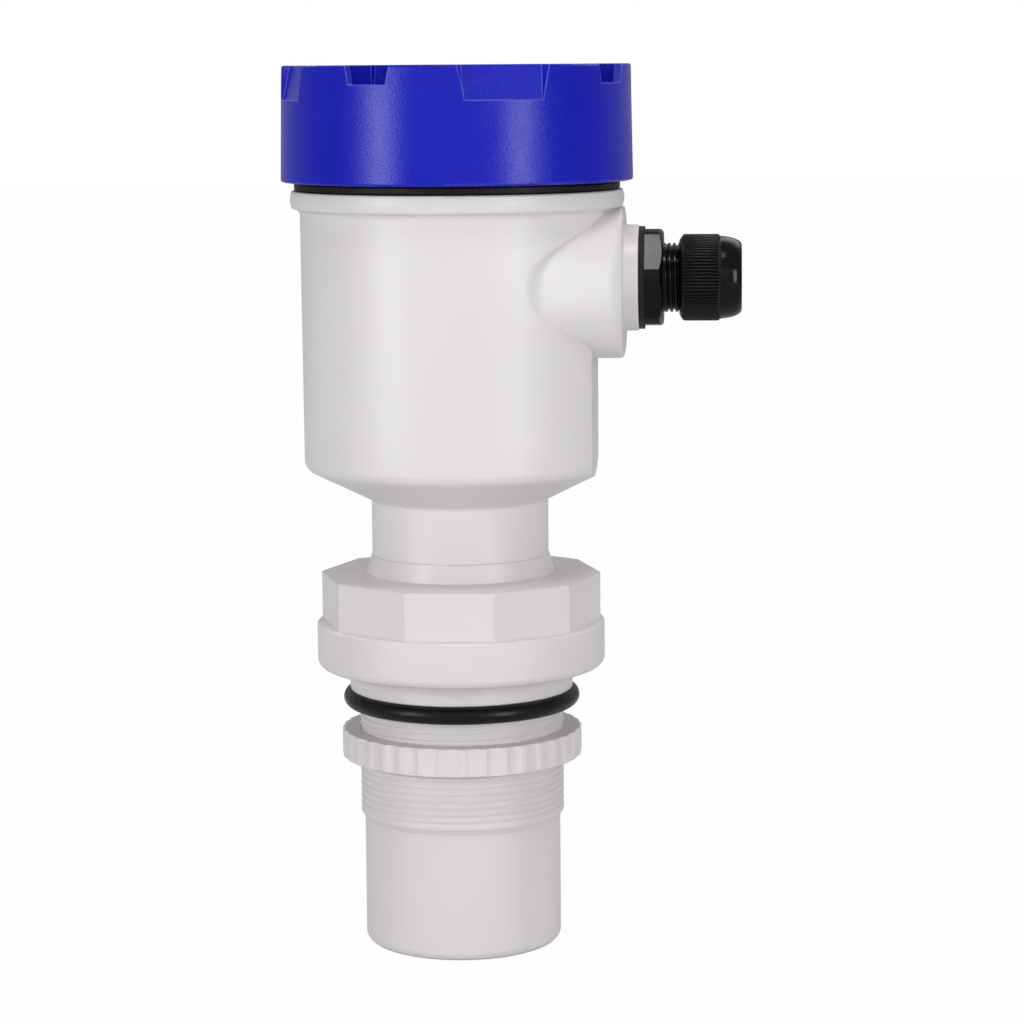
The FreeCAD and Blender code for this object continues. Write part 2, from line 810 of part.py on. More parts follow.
def capacitors():
    low = main_board_top()
    cans = []
    for (radius, high), places in ((tall_can, tall_can_places), (short_can, short_can_places)):
        for x, y in places:
            can = lathe([(0, low), (radius, low), (radius, low + high, 0.6), (0, low + high)])
            can.translate(Vector(x, y, 0))
            cans.append(can)
    return Part.makeCompound(cans)


def ribbon_headers():
    headers = []
    for low in (main_board_top(), display_board_low - header_high):
        headers.append(block(header_size[0], header_size[1], low, low + header_high, ribbon_x, 0))
    return Part.makeCompound(headers)


def ribbon_cable():
    """Flat cable that bows inwards between the headers of the two boards."""
    low = main_board_top() + header_high
    high = display_board_low - header_high
    middle_z = (high + low) / 2
    inner_x = ribbon_x - ribbon_thick / 2
    outer_x = ribbon_x + ribbon_thick / 2
    sides = []
    for x in (inner_x, outer_x):
        bow = Vector(x + ribbon_bow, 0, middle_z)
        sides.append(Part.Arc(Vector(x, 0, low), bow, Vector(x, 0, high)).toShape())
    ends = []
    for z in (low, high):
        ends.append(Part.LineSegment(Vector(inner_x, 0, z), Vector(outer_x, 0, z)).toShape())
    outline = Part.Wire([sides[0], ends[1], sides[1], ends[0]])
    strip = Part.Face(outline).extrude(Vector(0, ribbon_wide, 0))
    strip.translate(Vector(0, -ribbon_wide / 2, 0))
    return strip


def build():
    os.makedirs("parts", exist_ok=True)
    makers = [
        transducer_body, matching_layer, piezo_disc, backing_block, temperature_sensor, potting_plug,
        transducer_lead, transducer_plug, housing, lid_cover, window_seal, window_pane,
        window_retainer, retainer_screws, lid_gasket, o_ring, lock_nut, gland_body, gland_washer,
        gland_inner_nut, gland_claw_ring, gland_seal_bush, gland_dome_nut, board_standoffs,
        display_screws, display_bezel, lcd_module, button_switches, terminal_block,
        terminal_screws, power_module, capacitors, ribbon_headers, ribbon_cable]
    for maker in makers:
        save(maker.__name__, maker())
    save("main_board", board(post_top, board_r))
    save("display_board", board(display_board_low, board_r))
    for number, (x, y) in enumerate(button_places(), 1):
        save("keypad_button_" + str(number), keypad_button(x, y))


build()
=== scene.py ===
import json
import math

import bmesh
import bpy
from mathutils import Matrix, Vector

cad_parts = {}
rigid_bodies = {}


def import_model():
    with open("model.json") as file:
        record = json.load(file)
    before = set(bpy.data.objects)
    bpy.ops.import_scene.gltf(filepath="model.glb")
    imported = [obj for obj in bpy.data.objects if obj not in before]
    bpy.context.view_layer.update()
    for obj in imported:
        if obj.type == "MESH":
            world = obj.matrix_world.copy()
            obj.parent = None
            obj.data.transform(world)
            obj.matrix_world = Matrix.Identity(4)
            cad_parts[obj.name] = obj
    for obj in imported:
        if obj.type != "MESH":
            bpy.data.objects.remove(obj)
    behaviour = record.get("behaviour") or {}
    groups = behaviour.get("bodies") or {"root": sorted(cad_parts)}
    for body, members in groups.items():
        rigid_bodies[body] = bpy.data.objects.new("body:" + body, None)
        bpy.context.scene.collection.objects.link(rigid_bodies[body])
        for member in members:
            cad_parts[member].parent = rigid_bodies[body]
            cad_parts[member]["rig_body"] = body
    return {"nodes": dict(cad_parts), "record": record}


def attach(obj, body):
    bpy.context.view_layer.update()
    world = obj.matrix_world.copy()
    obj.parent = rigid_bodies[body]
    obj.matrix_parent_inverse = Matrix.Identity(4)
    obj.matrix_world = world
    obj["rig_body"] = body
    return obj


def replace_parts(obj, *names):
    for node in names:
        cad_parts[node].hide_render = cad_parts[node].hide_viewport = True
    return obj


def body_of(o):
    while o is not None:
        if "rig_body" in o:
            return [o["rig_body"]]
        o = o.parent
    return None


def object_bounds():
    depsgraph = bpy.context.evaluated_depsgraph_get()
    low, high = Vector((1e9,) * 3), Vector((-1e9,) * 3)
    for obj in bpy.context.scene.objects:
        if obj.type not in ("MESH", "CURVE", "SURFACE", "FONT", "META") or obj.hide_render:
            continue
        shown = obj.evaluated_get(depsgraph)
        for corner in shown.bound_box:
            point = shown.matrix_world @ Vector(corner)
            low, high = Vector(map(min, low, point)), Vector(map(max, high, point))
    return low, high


# Ultrasonic level sensor: finishes, screw threads, boss skin, ribbed nut, studio and camera
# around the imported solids. Blender's lengths are in metres, and the named shapes in millimetres.
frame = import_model()
cad_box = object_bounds()
nodes = frame["nodes"]
mm = 0.001

# Camera fitted to the photograph, in metres; its lens and sensor in millimetres
camera_azimuth = math.radians(4.0)
camera_pitch = math.radians(6.605)
camera_roll = math.radians(-0.43)
camera_distance = 0.920
camera_aside = 0.0154
camera_lens = 111.15
camera_sensor = 36.0
camera_shift_y = -0.08

# Threads: crest radius, depth, pitch and span along the axis, and the columns round each thread and
# rows up each turn that it is meshed with
process_thread = {
    "crest": 30.0, "depth": 0.5, "pitch": 2.0, "low": 39.4, "high": 70.3, "columns": 240, "rows": 14}
lid_thread = {
    "crest": 44.0, "depth": 0.9, "pitch": 4.0, "low": 224.4, "high": 236.8, "columns": 240, "rows": 18}
gland_thread = {
    "crest": 10.0, "depth": 0.75, "pitch": 1.5, "low": 60.0, "high": 69.2, "columns": 160, "rows": 14}
thread_root_share = 0.14
thread_flank_share = 0.5
crest_tolerance = 0.02

# Mesh clean-up, in metres and square metres
crease_angle = math.radians(13)
weld_distance = 1e-7
sliver_area = 1e-13

# Housing's round wall, which widens a little upwards, its radius at the boss, and the flat on the
# gland side
body_low_z = 141.6
body_low_r = 45.3
body_widening = 0.4 / 75.3
body_r = 45.5
side_flat_x = 39.8

# Cable boss: straight-sided loft from a wide root to the end that carries the gland seat
boss_root_x = 18.0
boss_end_x = 48.55
boss_mid_z = 195.2
boss_half_z = 21.8
boss_root_half_y = 41.6
boss_end_half_y = 26.3
boss_root_power = 3.4
boss_end_power = 2.7
boss_edge_round = 0.9
boss_columns = 240
boss_rows = 8
boss_edge_rows = 5
boss_search_step = 0.002
boss_search_end = 0.95
seat_inner_r = 15.2

# Where the solid's own boss is drawn in under the skin; heights are from the boss's middle
solid_root_low_x = 17.0
solid_root_high_x = 38.0
solid_root_half_z = 15.0
solid_root_top = 20.0
solid_end_tolerance = 0.1
solid_end_inset = 0.3
solid_end_share = 0.88
solid_seat_r = 17.5

# Lap of the boss's skin on the body's wall: its shares of the way out on the flat, its angle round
# the axis, its height above the wall, and each row's share of that angle and drop
flat_lap_margin = 0.1
flat_lap_shares = (0.97, 0.975, 0.98, 0.985, 0.99)
lap_angle = math.radians(20)
lap_half_z = 17.0
lap_least_share = 0.02
lap_proud = 0.04
lap_sink = 0.14
lap_sink_start = 0.7
lap_sink_span = 0.25
lap_rows = ((1.0, 0.1), (0.8, 0.02), (0.5, 0.0), (0.2, 0.0), (0.02, 0.0))

# Round wall between the boss and the rim
wall_above_half_deg = 32
wall_above_step_deg = 2
wall_above_heights = (boss_mid_z, 210.0, 217.2)
wall_above_proud = 0.01
wall_above_edge_drop = 0.05

# Gland: its axis, and the hexagon that the scene turns a little
gland_axis_z = 196.4
hexagon_low_x = 54.3
hexagon_high_x = 60.1
hexagon_inner_r = 12.0
hexagon_turn = math.radians(6.0)
hexagon_growth = 1.02

# Compression nut: grip with fine ribs and a domed end, along the gland's axis
nut_low_x = 64.4
nut_grip_end_x = 76.2
nut_dome_start_x = 76.8
nut_end_x = 82.5
nut_grip_r = 12.55
nut_low_bore_r = 10.2
nut_groove_r = 12.0
nut_dome_r = 11.95
nut_dome_end_r = 9.1
nut_dome_rise_power = 1.35
nut_dome_side_power = 0.8
nut_dome_rows = 12
nut_lip_r = 7.4
nut_mouth_r = 6.6
nut_mouth_depth = 3.5
nut_inner_r = 9.3
nut_rib_depth = 0.5
nut_rib_count = 80
nut_rib_columns = 8
nut_rib_flatness = 1.35

# Painted highlight on rounded edges, by how far the rounded normal turns away from the flat one
highlight_start = 0.97
highlight_full = 0.9

# Studio, in metres: grey of the floor, shares of white that rays see, strength of the even fill,
# and the point that the lamps face, with the power for each unit of a lamp's radiance and area
floor_grey = 0.66
floor_white_share = 0.985
floor_mirrored_share = 0.1
world_mirrored_share = 0.05
world_fill = 0.32
studio_aim = Vector((0, 0, 0.15))
lamp_power = 4.0


# Node material helpers

def new_material(name):
    material = bpy.data.materials.new(name)
    material.use_nodes = True
    tree = material.node_tree
    tree.nodes.clear()
    output = tree.nodes.new("ShaderNodeOutputMaterial")
    shader = tree.nodes.new("ShaderNodeBsdfPrincipled")
    tree.links.new(shader.outputs["BSDF"], output.inputs["Surface"])
    return material, tree, shader


def object_noise(tree, scale, detail=2.0, roughness=0.5, stretch=(1.0, 1.0, 1.0)):
    """Noise in object coordinates; scale is in cycles for each metre."""
    coordinates = tree.nodes.new("ShaderNodeTexCoord")
    mapping = tree.nodes.new("ShaderNodeMapping")
    mapping.inputs["Scale"].default_value = stretch
    noise = tree.nodes.new("ShaderNodeTexNoise")
    noise.inputs["Scale"].default_value = scale
    noise.inputs["Detail"].default_value = detail
    noise.inputs["Roughness"].default_value = roughness
    tree.links.new(coordinates.outputs["Object"], mapping.inputs["Vector"])
    tree.links.new(mapping.outputs["Vector"], noise.inputs["Vector"])
    return noise


def tint_between(tree, factor, low, high, start=0.35, end=0.65):
    """Colour that eases from low to high while factor goes from start to end."""
    ramp = tree.nodes.new("ShaderNodeValToRGB")
    ramp.color_ramp.interpolation = "EASE"
    ramp.color_ramp.elements[0].position = start
    ramp.color_ramp.elements[1].position = end
    ramp.color_ramp.elements[0].color = (*low, 1.0)
    ramp.color_ramp.elements[1].color = (*high, 1.0)
    tree.links.new(factor, ramp.inputs["Fac"])
    return ramp.outputs["Color"]


def value_between(tree, factor, low, high):
    """Value that goes smoothly from low to high over the middle half of a noise."""
    span = tree.nodes.new("ShaderNodeMapRange")
    span.interpolation_type = "SMOOTHSTEP"
    span.inputs["From Min"].default_value = 0.25
    span.inputs["From Max"].default_value = 0.75
    span.inputs["To Min"].default_value = low
    span.inputs["To Max"].default_value = high
    tree.links.new(factor, span.inputs["Value"])
    return span.outputs["Result"]


def add_bump(tree, shader, height, strength, distance, edge_radius):
    """Surface grain on top of softly rounded edges."""
    edge = tree.nodes.new("ShaderNodeBevel")
    edge.samples = 4
    edge.inputs["Radius"].default_value = edge_radius
    bump = tree.nodes.new("ShaderNodeBump")
    bump.inputs["Strength"].default_value = strength
    bump.inputs["Distance"].default_value = distance
    tree.links.new(height, bump.inputs["Height"])
    tree.links.new(edge.outputs["Normal"], bump.inputs["Normal"])
    tree.links.new(bump.outputs["Normal"], shader.inputs["Normal"])
    return edge.outputs["Normal"]


def painted_edge_highlight(tree, tint, edge_normal, edge_highlight_colour):
    """Painted highlight: the colour goes over to a paler highlight colour where the rounded edge turns
    away.
    """
    geometry = tree.nodes.new("ShaderNodeNewGeometry")
    turn = tree.nodes.new("ShaderNodeVectorMath")
    turn.operation = "DOT_PRODUCT"
    tree.links.new(geometry.outputs["Normal"], turn.inputs[0])
    tree.links.new(edge_normal, turn.inputs[1])
    span = tree.nodes.new("ShaderNodeMapRange")
    span.inputs["From Min"].default_value = highlight_start
    span.inputs["From Max"].default_value = highlight_full
    tree.links.new(turn.outputs["Value"], span.inputs["Value"])
    mix = tree.nodes.new("ShaderNodeMix")
    mix.data_type = "RGBA"
    tree.links.new(span.outputs["Result"], mix.inputs["Factor"])
    tree.links.new(tint, mix.inputs["A"])
    mix.inputs["B"].default_value = (*edge_highlight_colour, 1.0)
    return mix.outputs["Result"]


def scaled(colour, factor):
    return tuple(min(1.0, channel * factor) for channel in colour)


def moulded_plastic(name, colour, rough, grain_scale=1500.0, grain=0.12, edge_mm=0.25,
                    mottle=0.03, specular=0.5, edge_highlight_colour=None):
    """Injection-moulded plastic: slight mottling, uneven gloss and a fine spark-eroded grain, with a
    painted highlight along rounded edges when a highlight colour is given.
    """
    material, tree, shader = new_material(name)
    cloud = object_noise(tree, 35.0, 3.0)
    tint = tint_between(
        tree, cloud.outputs["Fac"], scaled(colour, 1 - mottle), scaled(colour, 1 + mottle), 0.2, 0.8)
    patches = object_noise(tree, 90.0, 2.0)
    gloss = value_between(tree, patches.outputs["Fac"], rough - 0.03, rough + 0.04)
    tree.links.new(gloss, shader.inputs["Roughness"])
    shader.inputs["Specular IOR Level"].default_value = specular
    texture = object_noise(tree, grain_scale, 3.0, 0.6)
    edge_normal = add_bump(tree, shader, texture.outputs["Fac"], grain, 0.1 * mm, edge_mm * mm)
    # Paler colour on rounded edges: painted highlight.
    if edge_highlight_colour:
        tint = painted_edge_highlight(tree, tint, edge_normal, edge_highlight_colour)
    tree.links.new(tint, shader.inputs["Base Color"])
    return material


def rubber(name, colour, rough):
    """Black or grey elastomer with a dusty, matt surface."""
    material, tree, shader = new_material(name)
    shader.inputs["Specular IOR Level"].default_value = 0.22
    dust = object_noise(tree, 260.0, 5.0, 0.7)
    tint = tint_between(tree, dust.outputs["Fac"], colour, scaled(colour, 1.7), 0.45, 0.8)
    tree.links.new(tint, shader.inputs["Base Color"])
    patches = object_noise(tree, 120.0, 3.0)
    gloss = value_between(tree, patches.outputs["Fac"], rough - 0.06, rough + 0.08)
    tree.links.new(gloss, shader.inputs["Roughness"])
    add_bump(tree, shader, dust.outputs["Fac"], 0.08, 0.1 * mm, 0.1 * mm)
    return material


def turned_metal(name, colour, rough):
    """Metal with fine streaks round its turned faces."""
    material, tree, shader = new_material(name)
    streaks = object_noise(tree, 400.0, 3.0, 0.6, (1.0, 1.0, 8.0))
    tint = tint_between(tree, streaks.outputs["Fac"], scaled(colour, 0.9), colour)
    tree.links.new(tint, shader.inputs["Base Color"])
    gloss = value_between(tree, streaks.outputs["Fac"], rough - 0.06, rough + 0.06)
    tree.links.new(gloss, shader.inputs["Roughness"])
    shader.inputs["Metallic"].default_value = 1.0
    add_bump(tree, shader, streaks.outputs["Fac"], 0.06, 0.05 * mm, 0.1 * mm)
    return material


def clear_window(name):
    """Clear moulded pane, a little hazy in places."""
    material, tree, shader = new_material(name)
    haze = object_noise(tree, 60.0, 2.0)
    gloss = value_between(tree, haze.outputs["Fac"], 0.01, 0.03)
    tree.links.new(gloss, shader.inputs["Roughness"])
    shader.inputs["Base Color"].default_value = (0.97, 0.985, 0.98, 1.0)
    shader.inputs["Transmission Weight"].default_value = 1.0
    shader.inputs["IOR"].default_value = 1.49
    return material


def circuit_board(name, mask, copper):
    """Solder mask with paler tracks that run in straight lines under it."""
    material, tree, shader = new_material(name)
    coordinates = tree.nodes.new("ShaderNodeTexCoord")
    tracks = tree.nodes.new("ShaderNodeTexBrick")
    tracks.inputs["Scale"].default_value = 120.0
    tracks.inputs["Mortar Size"].default_value = 0.035
    tracks.inputs["Color1"].default_value = (*mask, 1.0)
    tracks.inputs["Color2"].default_value = (*scaled(mask, 1.15), 1.0)
    tracks.inputs["Mortar"].default_value = (*copper, 1.0)
    tree.links.new(coordinates.outputs["Object"], tracks.inputs["Vector"])
    tree.links.new(tracks.outputs["Color"], shader.inputs["Base Color"])
    cloud = object_noise(tree, 200.0, 2.0)
    gloss = value_between(tree, cloud.outputs["Fac"], 0.28, 0.38)
    tree.links.new(gloss, shader.inputs["Roughness"])
    add_bump(tree, shader, tracks.outputs["Fac"], 0.05, 0.05 * mm, 0.1 * mm)
    return material


def ribbon(name, colour, groove):
    """Flat cable: fine ribs that run up its length, with painted shade that darkens the grooves
    between them.
    """
    material, tree, shader = new_material(name)
    coordinates = tree.nodes.new("ShaderNodeTexCoord")
    wave = tree.nodes.new("ShaderNodeTexWave")
    wave.wave_type = "BANDS"
    wave.bands_direction = "Y"
    wave.inputs["Scale"].default_value = 250.0
    tree.links.new(coordinates.outputs["Object"], wave.inputs["Vector"])
    # Darker colour in the grooves: painted shade.
    tint = tint_between(tree, wave.outputs["Fac"], groove, colour, 0.1, 0.5)
    tree.links.new(tint, shader.inputs["Base Color"])
    shader.inputs["Roughness"].default_value = 0.45
    add_bump(tree, shader, wave.outputs["Fac"], 0.4, 0.2 * mm, 0.05 * mm)
    return material


def display_glass(name, colour):
    """Reflective liquid-crystal pane, unlit, with a faint cloudiness."""
    material, tree, shader = new_material(name)
    cloud = object_noise(tree, 30.0, 2.0)
    tint = tint_between(tree, cloud.outputs["Fac"], scaled(colour, 0.93), colour)
    tree.links.new(tint, shader.inputs["Base Color"])
    gloss = value_between(tree, cloud.outputs["Fac"], 0.1, 0.16)
    tree.links.new(gloss, shader.inputs["Roughness"])
    shader.inputs["Coat Weight"].default_value = 0.6
    return material


def finishes():
    """One node material for each material slot of the record."""
    return {
        # The lid's paler blue along its rounded edges is a painted highlight.
        "lid_blue": moulded_plastic(
            "lid_blue", (0.003, 0.0065, 0.44), 0.26, grain=0.75, edge_mm=0.5, mottle=0.02,
            specular=0.28, edge_highlight_colour=(0.17, 0.19, 0.72)),
        "housing_white": moulded_plastic(
            "housing_white", (0.74, 0.715, 0.72), 0.38, grain_scale=1200.0, grain=0.05,
            edge_mm=0.4, mottle=0.012),
        "transducer_white": moulded_plastic(
            "transducer_white", (0.72, 0.69, 0.70), 0.36, grain_scale=1000.0, grain=0.05,
            edge_mm=0.5, mottle=0.014),
        "nut_white": moulded_plastic(
            "nut_white", (0.72, 0.69, 0.68), 0.45, grain_scale=1100.0, grain=0.08,
            edge_mm=0.4, mottle=0.02),
        "gasket_black": rubber("gasket_black", (0.005, 0.0045, 0.005), 0.5),
        "o_ring_black": rubber("o_ring_black", (0.004, 0.004, 0.0043), 0.3),
        "gland_black": moulded_plastic(
            "gland_black", (0.0025, 0.0025, 0.0029), 0.19, grain_scale=1600.0, grain=0.04,
            edge_mm=0.2, mottle=0.1, specular=0.18),
        "seal_black": rubber("seal_black", (0.012, 0.012, 0.013), 0.55),
        "window_clear": clear_window("window_clear"),
        "trim_grey": moulded_plastic("trim_grey", (0.21, 0.22, 0.235), 0.45),
        "lcd_grey": display_glass("lcd_grey", (0.36, 0.41, 0.34)),
        "board_green": circuit_board("board_green", (0.01, 0.13, 0.04), (0.03, 0.24, 0.08)),
        "button_grey": moulded_plastic("button_grey", (0.5, 0.5, 0.52), 0.5),
        "terminal_green": moulded_plastic("terminal_green", (0.02, 0.30, 0.11), 0.42),
        "steel": turned_metal("steel", (0.62, 0.62, 0.60), 0.3),
        "brass": turned_metal("brass", (0.72, 0.52, 0.22), 0.32),
        "can_silver": turned_metal("can_silver", (0.66, 0.67, 0.69), 0.26),
        "module_black": moulded_plastic("module_black", (0.015, 0.015, 0.016), 0.5),
        "ribbon_grey": ribbon("ribbon_grey", (0.42, 0.42, 0.44), (0.2, 0.2, 0.21)),
        "lead_grey": rubber("lead_grey", (0.07, 0.07, 0.075), 0.45),
        "foam_tan": moulded_plastic(
            "foam_tan", (0.46, 0.34, 0.2), 0.8, grain_scale=700.0, grain=0.5),
        "piezo_ceramic": moulded_plastic(
            "piezo_ceramic", (0.55, 0.5, 0.42), 0.55, grain_scale=2500.0, grain=0.2),
        "potting_black": rubber("potting_black", (0.014, 0.014, 0.016), 0.3)}


def slot_of(node):
    return next(part["material_slot"] for part in frame["record"]["subparts"] if part["node"] == node)


def dress_solids(materials):
    for name, solid in nodes.items():
        solid.data.materials.clear()
        solid.data.materials.append(materials[slot_of(name)])


# Lines of points that become bands of faces

def vertex_line(mesh, points):
    """Vertices at points that are given in millimetres."""
    return [mesh.verts.new([value * mm for value in point]) for point in points]


def join_lines(mesh, near, beside, step=0):
    """Smooth faces between two lines of vertices, the second taken step vertices further on."""
    for j in range(min(len(near), len(beside) - step) - 1):
        mesh.faces.new((near[j], beside[j + step], beside[j + step + 1], near[j + 1])).smooth = True


def open_band(lines):
    """Band of faces from the first line of points to the last."""
    mesh = bmesh.new()
    grid = [vertex_line(mesh, line) for line in lines]
    for near, beside in zip(grid, grid[1:]):
        join_lines(mesh, near, beside)
    return mesh


def closed_band(lines):
    """Band of faces through all the lines of points and back to the first."""
    mesh = bmesh.new()
    grid = [vertex_line(mesh, line) for line in lines]
    for near, beside in zip(grid, grid[1:] + grid[:1]):
        join_lines(mesh, near, beside)
    bmesh.ops.recalc_face_normals(mesh, faces=mesh.faces)
    return mesh


# Screw threads, which the solids leave as plain cylinders

def thread_profile(turn):
    """Rounded trapezoid: 1 on the crest and 0 in the root, over one pitch."""
    away = abs((turn % 1.0) - 0.5) * 2.0
    rise = min(1.0, max(0.0, (1.0 - thread_root_share - away) / thread_flank_share))
    return rise * rise * (3.0 - 2.0 * rise)


def thread_line(spec, share):
    """Points up the thread at a share of the way round, where its grooves are that share higher."""
    pitch = spec["pitch"]
    turns = math.ceil((spec["high"] - spec["low"]) / pitch) + 1
    angle = 2 * math.pi * share
    line = []
    for j in range(turns * spec["rows"] + 1):
        turn = j / spec["rows"]
        z = spec["low"] + (turn - 1.0 + share) * pitch
        z = min(spec["high"], max(spec["low"], z))
        fade = max(0.0, min(1.0, (z - spec["low"]) / pitch, (spec["high"] - z) / pitch))
        radius = spec["crest"] - spec["depth"] * (1.0 - thread_profile(turn)) * fade
        line.append((radius * math.cos(angle), radius * math.sin(angle), z))
    return line


def thread_strip(spec):
    """Helical thread surface about +Z whose two ends are plain rings at the crest radius."""
    mesh = bmesh.new()
    columns = spec["columns"]
    grid = [vertex_line(mesh, thread_line(spec, i / columns)) for i in range(columns)]
    for near, beside in zip(grid, grid[1:]):
        join_lines(mesh, near, beside)
    join_lines(mesh, grid[-1], grid[0], spec["rows"])
    bmesh.ops.remove_doubles(mesh, verts=mesh.verts, dist=weld_distance)
    flat = [face for face in mesh.faces if face.calc_area() < sliver_area]
    bmesh.ops.delete(mesh, geom=flat, context="FACES_ONLY")
    return mesh


def on_crest(face, to_local, spec):
    """True when all of a face's corners are at the thread's crest radius."""
    for vertex in face.verts:
        place = to_local @ vertex.co
        if abs(math.hypot(place.x, place.y) - spec["crest"] * mm) > crest_tolerance * mm:
            return False
    return True


def reaches_thread(face, to_local, spec):
    """True when some of a face is inside the thread's span."""
    heights = [(to_local @ vertex.co).z for vertex in face.verts]
    return max(heights) > spec["low"] * mm and min(heights) < spec["high"] * mm


def within_thread(face, to_local, spec):
    """True when a face's middle is inside the thread's span."""
    middle = (to_local @ face.calc_center_median()).z
    return spec["low"] * mm < middle < spec["high"] * mm


def split_at(mesh, faces, place, axis):
    """Cuts some of a mesh's faces where a plane crosses them."""
    geometry = set(faces)
    for face in faces:
        geometry.update(face.edges)
        geometry.update(face.verts)
    bmesh.ops.bisect_plane(
        mesh, geom=list(geometry), plane_co=place, plane_no=axis, dist=weld_distance)


def cut_band(mesh, spec, to_axis):
    """Takes the plain cylinder between the thread's ends out of a copy of the solid."""
    to_local = to_axis.inverted()
    axis = (to_axis.to_3x3() @ Vector((0, 0, 1))).normalized()
    for z in (spec["low"], spec["high"]):
        crest = [face for face in mesh.faces if on_crest(face, to_local, spec)]
        near = [face for face in crest if reaches_thread(face, to_local, spec)]
        split_at(mesh, near, to_axis @ Vector((0, 0, z * mm)), axis)
    crest = [face for face in mesh.faces if on_crest(face, to_local, spec)]
    gone = [face for face in crest if within_thread(face, to_local, spec)]
    bmesh.ops.delete(mesh, geom=gone, context="FACES")


def welded_copy(data):
    """Closed mesh of a solid, smooth except along edges that turn by the crease angle or more."""
    mesh = bmesh.new()
    corners = [mesh.verts.new(vertex.co) for vertex in data.vertices]
    for polygon in data.polygons:
        mesh.faces.new([corners[i] for i in polygon.vertices])
    bmesh.ops.remove_doubles(mesh, verts=mesh.verts, dist=weld_distance)
    bmesh.ops.dissolve_degenerate(mesh, edges=mesh.edges, dist=weld_distance)
    for edge in mesh.edges:
        edge.smooth = len(edge.link_faces) == 2 and edge.calc_face_angle(0.0) < crease_angle
    for face in mesh.faces:
        face.smooth = True
    return mesh


def add_piece(mesh, piece_name, node, material):
    """Turns mesh code into a named piece that rides with a node's body in its finish."""
    data = bpy.data.meshes.new(piece_name)
    mesh.to_mesh(data)
    mesh.free()
    piece = bpy.data.objects.new(piece_name, data)
    bpy.context.scene.collection.objects.link(piece)
    data.materials.append(material)
    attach(piece, body_of(nodes[node])[0])
    return piece


def add_strip(mesh, strip):
    """Adds the faces of one mesh to another."""
    data = bpy.data.meshes.new("strip")
    strip.to_mesh(data)
    strip.free()
    mesh.from_mesh(data)
    bpy.data.meshes.remove(data)


def threaded_copy(node, piece_name, spec, to_axis, material, reshape=None):
    """Stands for a solid: the same form with its plain cylinder cut into a screw thread."""
    mesh = welded_copy(nodes[node].data)
    if reshape:
        for vertex in mesh.verts:
            vertex.co = reshape(vertex.co)
    cut_band(mesh, spec, to_axis)
    strip = thread_strip(spec)
    strip.transform(to_axis)
    add_strip(mesh, strip)
    bmesh.ops.recalc_face_normals(mesh, faces=mesh.faces)
    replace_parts(add_piece(mesh, piece_name, node, material), node)


def cut_threads(materials):
    upright = Matrix.Identity(4)
    sideways = Matrix.Translation((0, 0, gland_axis_z * mm)) @ Matrix.Rotation(math.pi / 2, 4, "Y")
    threaded_copy("transducer_body", "threaded_transducer", process_thread, upright,
                  materials["transducer_white"])
    threaded_copy("housing", "threaded_housing", lid_thread, upright,
                  materials["housing_white"], under_boss_skin)
    threaded_copy("gland_body", "threaded_gland", gland_thread, sideways,
                  materials["gland_black"], turned_hexagon)


# Cable boss, hexagon and compression nut, brought closer to the photographed forms

def under_boss_skin(place):
    """Draws the solid boss in, its root onto the body and its end's outline inwards."""
    x, y, z = place / mm
    rise = z - boss_mid_z
    reach = math.hypot(x, y)
    if rise > solid_root_top:
        return place
    on_root = solid_root_low_x < x < solid_root_high_x and abs(rise) < solid_root_half_z
    if on_root and reach > body_r:
        return Vector((x * body_r / reach, y * body_r / reach, z)) * mm
    on_end = abs(x - boss_end_x) <= solid_end_tolerance
    if on_end and math.hypot(y, z - gland_axis_z) >= solid_seat_r:
        y_in = y * solid_end_share
        return Vector((x - solid_end_inset, y_in, boss_mid_z + rise * solid_end_share)) * mm
    return place


def turned_hexagon(place):
    """Turns the gland's hexagon about its axis until its facets catch the light as photographed."""
    x, y, z = place / mm
    rise = z - gland_axis_z
    if not hexagon_low_x < x < hexagon_high_x or math.hypot(y, rise) < hexagon_inner_r:
        return place
    turned_y = y * math.cos(hexagon_turn) - rise * math.sin(hexagon_turn)
    turned_rise = y * math.sin(hexagon_turn) + rise * math.cos(hexagon_turn)
    return Vector((x, turned_y * hexagon_growth, gland_axis_z + turned_rise * hexagon_growth)) * mm


def boss_outline_point(angle, half_y, half_z, power):
    """Point of a rounded rectangle about the boss's middle, in the direction of angle."""
    across = math.cos(angle)
    rise = math.sin(angle)
    reach = (abs(across / half_y) ** power + abs(rise / half_z) ** power) ** (-1 / power)
    return reach * across, boss_mid_z + reach * rise


def boss_point(angle, share):
    """Point of the straight-sided boss at a share of its length, from the root to the end."""
    root_y, root_z = boss_outline_point(angle, boss_root_half_y, boss_half_z, boss_root_power)
    end_y, end_z = boss_outline_point(angle, boss_end_half_y, boss_half_z, boss_end_power)
    x = boss_root_x + (boss_end_x - boss_root_x) * share
    return x, root_y + (end_y - root_y) * share, root_z + (end_z - root_z) * share


def inside_body(x, y):
    return math.hypot(x, y) < body_r and x < side_flat_x


def share_at_wall(angle):
    """Share of the boss's length at which it comes out of the body."""
    share = 0.0
    while share < boss_search_end and inside_body(*boss_point(angle, share)[:2]):
        share += boss_search_step
    return share


def wall_r(z):
    """Radius of the housing's round wall at a height."""
    return body_low_r + body_widening * (z - body_low_z)


